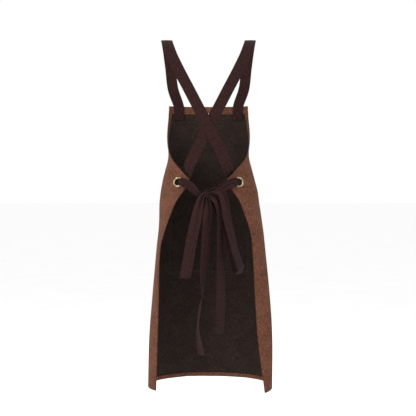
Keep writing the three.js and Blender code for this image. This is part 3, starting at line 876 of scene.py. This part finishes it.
def punched(panel, side, s, z, points):
    """Opens the eyelet's hole in a grid: moves the nearest places on to its rim, and says which
    places are inside it."""
    s0 = side * EYELET_S
    at, round_way, up_way, _ = panel.frame(s0, EYELET_Z)
    reach = points - at
    across, up = reach @ round_way, reach @ up_way
    away = np.hypot(across, up)
    near = np.hypot(s - s0, z - EYELET_Z) < HOLE_REGION
    snap = near & (np.abs(away - CLOTH_HOLE) < RIM_REACH)
    scale = np.where(snap, CLOTH_HOLE / np.maximum(away, TINY) - 1, 0)[..., None]
    moved = points + scale * (across[..., None] * round_way + up[..., None] * up_way)
    return moved, (near & (away < CLOTH_HOLE - RIM_REACH)).ravel()


def pocket(panel):
    """Patch pocket with a hem along its top. Gives the paths of its stitching."""
    s, z = np.meshgrid(np.linspace(-POCKET_HALF, POCKET_HALF, POCKET_GRID[0]),
                       np.linspace(POCKET_TOP - POCKET_DROP, POCKET_TOP, POCKET_GRID[1]))
    loose = np.cos(s / POCKET_HALF * math.pi / 2) ** 2 * np.sin(
        (z - POCKET_TOP + POCKET_DROP) / POCKET_DROP * math.pi / 2) ** 3
    centre = 1 - np.exp(-(s / POCKET_SEAM) ** 2)
    off = POCKET_OFF + POCKET_SAG * loose * centre
    obj = sheet_object("front_pocket_cloth", panel.at(s, z, off), np.stack([s, z], axis=-1),
                       FOLD, [OUTSIDE])
    finish_piece(obj, "cloth_outside", "front_pocket")
    edge = straight_edge((-POCKET_HALF, POCKET_TOP), (POCKET_HALF, POCKET_TOP), (0, -1))
    outer = POCKET_OFF + POCKET_HEM_OFF
    profile = [(d, outer) for d in np.linspace(POCKET_HEM, POCKET_HEM_END, 6)]
    profile += [(depth, outer - drop) for depth, drop in POCKET_HEM_TURN]
    fold = edge_strip("front_pocket_hem_fold", panel, *edge, profile)
    finish_piece(fold, "cloth_outside", "front_pocket_hem")
    paths = []
    for inset in POCKET_STITCHES:
        reach, low = POCKET_HALF - inset, POCKET_TOP - POCKET_DROP + inset
        paths.append([(-reach, POCKET_TOP), (-reach, low), (reach, low), (reach, POCKET_TOP)])
    paths.append([(0, POCKET_TOP), (0, POCKET_TOP - POCKET_DROP + STITCH_INSET)])
    hem_line, end = POCKET_TOP - POCKET_HEM + STITCH_INSET, POCKET_HALF - STITCH_INSET
    return paths, [(-end, hem_line), (end, hem_line)]


def care_label(panel):
    """Blank label tucked under the bib's hem, its free end curling in."""
    top = BIB_TOP - BIB_HEM + LABEL_TUCK
    s, z = np.meshgrid(np.linspace(-LABEL_HALF, LABEL_HALF, LABEL_GRID[0]),
                       np.linspace(top - LABEL_DROP, top, LABEL_GRID[1]))
    off = FOLD_OFFSET - LABEL_OFF - LABEL_CURL * ((top - z) / LABEL_DROP) ** 2
    obj = sheet_object("care_label_satin", panel.at(s, z, off), np.stack([s, z], axis=-1),
                       LABEL_THICK, [LABEL])
    return finish_piece(obj, "label", "care_label")


def eyelets(panel):
    """Eyelets clenched over their washers. Outlines are radius, and height along the hole."""
    base = CLOTH / 2 + BRASS_SEAT
    back = FOLD_OFFSET - FOLD / 2 - BRASS_SEAT
    for side, word in SIDES:
        at, _, _, out = panel.frame(side * EYELET_S, EYELET_Z)
        flange = [
            (HOLE_RADIUS, back - 0.0016), (HOLE_RADIUS, base + 0.0008),
            (HOLE_RADIUS + 0.0012, base + 0.0020), (HOLE_RADIUS + 0.0034, base + 0.0022),
            (FLANGE_RADIUS - 0.0010, base + 0.0012), (FLANGE_RADIUS, base),
            (BARREL_RADIUS, base), (BARREL_RADIUS, back - 0.0012),
            (BARREL_RADIUS + 0.0018, back - 0.0010), (BARREL_RADIUS + 0.0016, back - 0.0020),
            (BARREL_RADIUS - 0.0002, back - 0.0024),
        ]
        ring = lathe(f"eyelet_{word}_brass", round_profile(flange, 0.0006), at, out, BRASS)
        finish_piece(ring, "antique_brass", f"eyelet_{word}")
        washer = [
            (BARREL_RADIUS + 0.0002, back), (BARREL_RADIUS + 0.0002, back - 0.0009),
            (FLANGE_RADIUS - 0.0012, back - 0.0009), (FLANGE_RADIUS, back),
        ]
        plate = lathe(f"eyelet_washer_{word}_brass", round_profile(washer, 0.0003), at, out, BRASS)
        finish_piece(plate, "antique_brass", f"eyelet_washer_{word}")


def strap_box(side):
    """Box and cross that holds a strap to the bib."""
    near, far = (side * (BIB_STRAP_S + reach) for reach in (-STRAP_BOX_HALF, STRAP_BOX_HALF))
    top, low = BIB_TOP - STRAP_BOX_TOP, BIB_TOP - STRAP_BOX_LOW
    return [(near, top), (far, top), (far, low), (near, low), (near, top), (far, low)], [
        (near, low), (far, top)]


def add_stitches(panel, patch_paths, pocket_paths, pocket_hem_path):
    """All the stitches, joined into one object for each kind of thread."""
    outside, inside, tape = ([], []), ([], []), ([], [])
    outer, inner = CLOTH / 2 + THREAD_LIFT, FOLD_OFFSET - FOLD / 2 - THREAD_LIFT
    for path in hem_stitch_paths() + patch_paths:
        stitch_line(outside, panel, path, outer)
        stitch_line(inside, panel, path, inner)
    for path in pocket_paths:
        stitch_line(outside, panel, path, POCKET_OFF + FOLD / 2 + THREAD_LIFT)
        stitch_line(inside, panel, path, -outer)
    stitch_line(outside, panel, pocket_hem_path, POCKET_OFF + POCKET_HEM_OFF + FOLD / 2)
    for side, _ in SIDES:
        for path in strap_box(side):
            stitch_line(outside, panel, path, outer)
            stitch_line(tape, panel, path, STRAP_BEHIND - TAPE_THICK / 2)
    for name, lines, material, slot in (
        ("stitches_outside", outside, STITCH_OUTSIDE, "cloth_outside"),
        ("stitches_inside", inside, STITCH_INSIDE, "cloth_inside"),
        ("stitches_strap_ends", tape, STITCH_TAPE, "tape"),
    ):
        obj = new_object(name, *lines)
        obj.data.materials.append(material)
        finish_piece(obj, slot)


# ==== settling of the cloth ====


def body_form(panel):
    """Smooth form a little inside the cloth, which stands in for the wearer while it settles."""
    inner = panel.points - panel.normals * BODY_GAP
    rings = inner[::FORM_ROW_STEP, ::FORM_COLUMN_STEP]
    faces = grid_faces(*rings.shape[:2], closed=True)
    obj = new_object("settling_form", rings.reshape(-1, 3), faces)
    obj.modifiers.new("collision", "COLLISION")
    obj.collision.thickness_outer = 0.002
    obj.collision.cloth_friction = 8
    return obj


def settle(panel):
    """Lets the cloth hang from the straps and eyelets for a moment, and keeps the small sags."""
    rows, columns = panel.points.shape[:2]
    start = panel.points.reshape(-1, 3).copy()
    obj = new_object("settling_cloth", start, grid_faces(rows, columns))
    held = obj.vertex_groups.new(name="held")
    s, z = panel.flat_s.ravel(), np.repeat(panel.z, columns)
    to_eyelet = np.hypot(np.abs(s) - EYELET_S, z - EYELET_Z)
    to_strap = np.hypot(np.abs(s) - BIB_STRAP_S, z - BIB_TOP)
    at_bib = (z > BIB_TOP - HELD_UNDER_BIB_TOP) | (to_strap < HELD_ROUND_STRAP)
    hung = np.flatnonzero((to_eyelet < HELD_ROUND_EYELET) | at_bib)
    held.add(hung.tolist(), 1.0, "REPLACE")
    form = body_form(panel)
    modifier = obj.modifiers.new("cloth", "CLOTH")
    cloth = modifier.settings
    cloth.quality = 5
    cloth.mass = 0.0005
    cloth.tension_stiffness = cloth.compression_stiffness = 25
    cloth.shear_stiffness = 18
    cloth.bending_stiffness = 1.2
    cloth.air_damping = 2
    cloth.shrink_min = -0.012
    cloth.vertex_group_mass = "held"
    modifier.collision_settings.distance_min = 0.003
    modifier.collision_settings.collision_quality = 2
    modifier.point_cache.frame_end = SETTLE_FRAMES
    scene = bpy.context.scene
    for step in range(1, SETTLE_FRAMES + 1):
        scene.frame_set(step)
    shaped = obj.evaluated_get(bpy.context.evaluated_depsgraph_get()).to_mesh()
    settled = np.empty(3 * len(start))
    shaped.vertices.foreach_get("co", settled)
    moved = settled.reshape(-1, 3) - start
    reach = np.linalg.norm(moved, axis=1, keepdims=True)
    from_held = np.minimum(BIB_TOP - z, to_eyelet - HOLE_REGION)
    fade = np.clip(from_held / SETTLE_FADE, 0, 1)[:, None]
    moved *= fade**2 * (3 - 2 * fade)
    moved *= SETTLE_REACH * np.tanh(reach / SETTLE_REACH) / np.maximum(reach, TINY)
    panel.points = (start + moved).reshape(rows, columns, 3)
    panel.measure()
    scene.frame_set(1)
    for helper in (obj, form):
        bpy.data.objects.remove(helper)


# ==== straps and bow ====


def strap_stations(panel, side):
    """Strap from inside the bib over its shoulder, across the back and through the far eyelet."""
    lift = STRAP_LIFT / 2 * -side
    stations = []
    for drop in STRAP_END_DROPS:
        at, _, _, out = panel.frame(side * BIB_STRAP_S, BIB_TOP - drop)
        stations.append((at + out * STRAP_BEHIND, out, TAPE))
    runs = [
        # across from the middle to its own side, along Y, height, facing
        (0.117, 0.088, -0.145, (0, 1, 0.15)),
        (0.124, 0.072, -0.082, (0, 1, 0.45)),
        (0.131, 0.042, -0.024, (0, 0.6, 1)),
        (0.134, 0.000, 0.000, (0, 0, 1)),
        (0.128, -0.046, -0.019, (0, -0.7, 1)),
        (0.115, -0.078, -0.056, (0, -1, 0.6)),
        (0.090, -0.101, -0.110, (0, -1, 0.25)),
        (0.058, -0.114, -0.172, (0, -1, 0.1)),
        (0.027, -0.119 - lift, -0.232, (0, -1, 0)),
        (0.000, -0.119 - lift, -0.283, (0, -1, 0)),
        (-0.024, -0.115 - lift, -0.330, (0, -1, -0.1)),
        (-0.042, -0.108, -0.366, (-0.1 * side, -1, -0.2)),
        (-0.059, -0.098, -0.402, (-0.2 * side, -1, -0.2)),
    ]
    stations += [(Vector((side * x, y, z)), face, TAPE) for x, y, z, face in runs]
    return stations + through_eyelet(panel, -side)


def through_eyelet(panel, side):
    """Stations through the eyelet from behind the cloth and on to the knot."""
    s0 = side * EYELET_S
    at, round_way, up_way, out = (Vector(v) for v in panel.frame(s0, EYELET_Z))
    edgeward = round_way * side

    def near(to_edge, rise, off):
        return at + edgeward * to_edge + up_way * rise + out * off

    spread = near(0.016, -0.002, 0.012)
    entry = KNOT + Vector((side * 0.0165, 0, 0))
    return [
        (near(0.019, 0.022, -0.0135), out, 0.8 * TAPE),
        (near(0.009, 0.009, -0.0115), out, 0.020),
        (near(0.003, 0.001, -0.006), edgeward + up_way, 0.016),
        (near(0.0032, 0, 0.001), edgeward, 0.0145),
        (near(0.006, -0.001, 0.007), edgeward, 0.019),
        (spread, -edgeward - out, 0.8 * TAPE),
        (entry.lerp(spread, 0.55) + Vector((0, 0, BAND_RISE)), (0, 1, -0.3), 0.82 * TAPE),
        (entry + Vector((side * 0.011, 0, BAND_RISE / 2)), (0, 1, -0.2), 0.019),
        (entry, (0, 1, 0), 0.012),
    ]


def hanging(places):
    """Stations from places given off the knot, with a turn or a facing for each."""
    return [(from_knot(x, y, z), turn if isinstance(turn, tuple) else facing(turn), wide)
            for x, y, z, wide, turn in places]


BOW_TAPES = {
    # sideways, along Y and up from the knot, width, and its turn or its facing
    "loop_left": [
        (-0.003, -0.008, 0.002, 0.011, 0), (-0.013, -0.012, -0.006, 0.016, -10),
        (-0.022, -0.012, -0.032, 0.027, -8), (-0.029, -0.011, -0.065, 0.033, -4),
        (-0.045, -0.009, -0.141, TAPE, 0), (-0.056, -0.008, -0.205, TAPE, 0),
        (-0.064, -0.007, -0.248, TAPE, 0), (-0.066, 0.0, -0.259, TAPE, (0, 0, -1)),
        (-0.063, 0.007, -0.248, TAPE, 180), (-0.054, 0.009, -0.205, TAPE, 180),
        (-0.042, 0.010, -0.141, TAPE, 182), (-0.030, 0.009, -0.065, 0.030, 186),
        (-0.018, 0.007, -0.030, 0.020, 188), (-0.006, 0.005, -0.004, 0.011, 180),
    ],
    "loop_right": [
        (0.004, -0.007, 0.003, 0.011, 0), (0.014, -0.010, 0.008, 0.013, 20),
        (0.029, -0.012, 0.010, 0.018, (0.1, -0.75, 0.6)),
        (0.044, -0.013, 0.004, 0.023, (0.5, -0.8, 0.45)),
        (0.053, -0.013, -0.014, 0.029, (0.75, -0.7, 0.15)),
        (0.059, -0.012, -0.049, 0.033, 48), (0.068, -0.010, -0.095, TAPE, 50),
        (0.077, -0.009, -0.130, TAPE, 53), (0.087, -0.009, -0.172, TAPE, 55),
        (0.100, -0.008, -0.212, TAPE, 58), (0.105, -0.005, -0.232, TAPE, 60),
        (0.095, 0.002, -0.246, TAPE, (0, 0, -1)),
        (0.084, 0.008, -0.232, TAPE, 240), (0.079, 0.009, -0.205, TAPE, 240),
        (0.070, 0.010, -0.160, TAPE, 236), (0.054, 0.010, -0.105, 0.033, 230),
        (0.032, 0.008, -0.052, 0.025, 212), (0.012, 0.005, -0.010, 0.012, 190),
    ],
    "tail_left": [
        (-0.001, -0.004, -0.002, 0.010, 10), (0.001, -0.006, -0.018, 0.015, 25),
        (0.0045, -0.007, -0.049, 0.030, 38), (0.002, -0.006, -0.095, TAPE, 38),
        (-0.001, -0.005, -0.141, TAPE, 37), (-0.006, -0.004, -0.209, TAPE, 44),
        (-0.011, -0.003, -0.255, TAPE, 58), (-0.013, -0.002, -0.313, TAPE, 88),
        (-0.021, -0.002, -0.353, TAPE, 104), (-0.026, -0.002, -0.399, TAPE, 98),
        (-0.025, -0.001, -0.442, TAPE, 112), (-0.019, 0.001, -0.478, TAPE, 124),
        (-0.017, 0.003, -0.496, TAPE, 126),
    ],
    "tail_right": [
        (0.005, -0.003, 0.001, 0.011, 20), (0.014, -0.005, -0.006, 0.014, 40),
        (0.027, -0.006, -0.018, 0.020, 60), (0.036, -0.006, -0.036, 0.028, 72),
        (0.040, -0.005, -0.070, 0.034, 72), (0.042, -0.004, -0.141, TAPE, 62),
        (0.043, -0.003, -0.209, TAPE, 52), (0.044, -0.002, -0.291, TAPE, 46),
        (0.044, -0.002, -0.340, TAPE, 37), (0.043, 0.000, -0.386, TAPE, 44),
        (0.040, 0.004, -0.431, TAPE, 48),
    ],
}


def knot_ring(centre, half_depth, half_height, tilt, wide):
    """Stations of a turn of tape round the knot, its ends tucked under each other."""
    stations = []
    for k in range(WRAP_STEPS):
        angle = math.radians(WRAP_START + k * WRAP_TURN)
        spot = Vector((0, half_depth * math.cos(angle), half_height * math.sin(angle)))
        out = Vector((0, math.cos(angle) / half_depth, math.sin(angle) / half_height))
        turn = Matrix.Rotation(math.radians(tilt), 3, "Y")
        grow = 1 + WRAP_GROWTH * k / (WRAP_STEPS - 1)
        stations.append((KNOT + Vector(centre) + turn @ spot * grow, turn @ out, wide))
    return stations


def tie_knot():
    """Knot of a straight core and a turn of tape wrapped round it."""
    core, _ = tape_object("bow_knot_core", hanging([
        (-0.018, 0, 0, 0.011, 0), (-0.008, 0, 0.001, 0.012, 0),
        (0.008, 0, 0.001, 0.012, 0), (0.018, 0, 0, 0.011, 0),
    ]))
    finish_piece(core, "tape", "bow_knot")
    ring = knot_ring((-0.002, -0.001, -0.001), half_depth=0.0105, half_height=0.0110, tilt=14, wide=0.015)
    front, _ = tape_object("bow_knot_wrap", ring, pleats=2.5, cup=0.002)
    finish_piece(front, "tape")


def tie_bow():
    """Two loops and two tails hanging under the knot, each a tape of its own."""
    for body, places in BOW_TAPES.items():
        node = ("bow_" if body.startswith("loop") else "tie_") + body
        obj, length = tape_object(f"{node}_tape", hanging(places))
        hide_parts(node)
        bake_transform(obj)


def sew_straps(panel):
    straps = []
    for side, word in SIDES:
        strap, length = tape_object(f"shoulder_strap_{word}_tape", strap_stations(panel, side),
                                    pleats=2.5, cup=0.0006)
        finish_piece(strap, "tape", f"shoulder_strap_{word}")
        straps.append(strap)
    return straps


# ==== stage ====


def plain_floor():
    corners = [(x * STAGE_REACH, y * STAGE_REACH, FLOOR_Z)
               for x, y in ((-1, -1), (1, -1), (1, 1), (-1, 1))]
    floor = new_object("floor", corners, [(0, 1, 2, 3)])
    nodes = Nodes("pale_floor")
    place = nodes.add("ShaderNodeTexCoord").outputs["Object"]
    stops = [(0.3, (0.955, 0.955, 0.955)), (0.7, (0.975, 0.975, 0.975))]
    colour = nodes.ramp(nodes.noise(place, scale=3), stops)
    nodes.surface(colour, Roughness=0.9, Specular_IOR_Level=0.1)
    floor.data.materials.append(nodes.material)


def area_light(name, place, size, power):
    light = bpy.data.lights.new(name, "AREA")
    light.shape = "DISK"
    light.size = size
    light.energy = power
    obj = bpy.data.objects.new(name, light)
    obj.location = place
    obj.rotation_euler = (Vector(LIT_PLACE) - Vector(place)).to_track_quat("-Z", "Y").to_euler()
    bpy.context.scene.collection.objects.link(obj)


def studio():
    for light in LIGHTS:
        area_light(*light)
    world = bpy.data.worlds.new("studio")
    world.use_nodes = True
    world.node_tree.nodes["Background"].inputs["Color"].default_value = (1, 1, 1, 1)
    world.node_tree.nodes["Background"].inputs["Strength"].default_value = 1.0
    bpy.context.scene.world = world
    bpy.context.scene.view_settings.view_transform = "Standard"


def camera():
    """Camera behind the wearer at waist height, looking along +Y."""
    lens = bpy.data.cameras.new("camera")
    lens.angle = math.radians(CAMERA_ANGLE)
    lens.shift_y = CAMERA_SHIFT
    obj = bpy.data.objects.new("camera", lens)
    obj.location = CAMERA_PLACE
    obj.rotation_euler = (math.pi / 2, 0, 0)
    bpy.context.scene.collection.objects.link(obj)
    bpy.context.scene.camera = obj


# ==== assembly ====


panel = Panel()
settle(panel)

cloth = build_panel_object(panel)
hems = sew_hems(panel)
patch_paths = [corner_patch(panel, side, word) for side, word in SIDES]
pocket_paths, pocket_hem_path = pocket(panel)
hems.append(care_label(panel))
eyelets(panel)
add_stitches(panel, patch_paths, pocket_paths, pocket_hem_path)

straps = sew_straps(panel)
tie_knot()
tie_bow()

plain_floor()
studio()
camera()
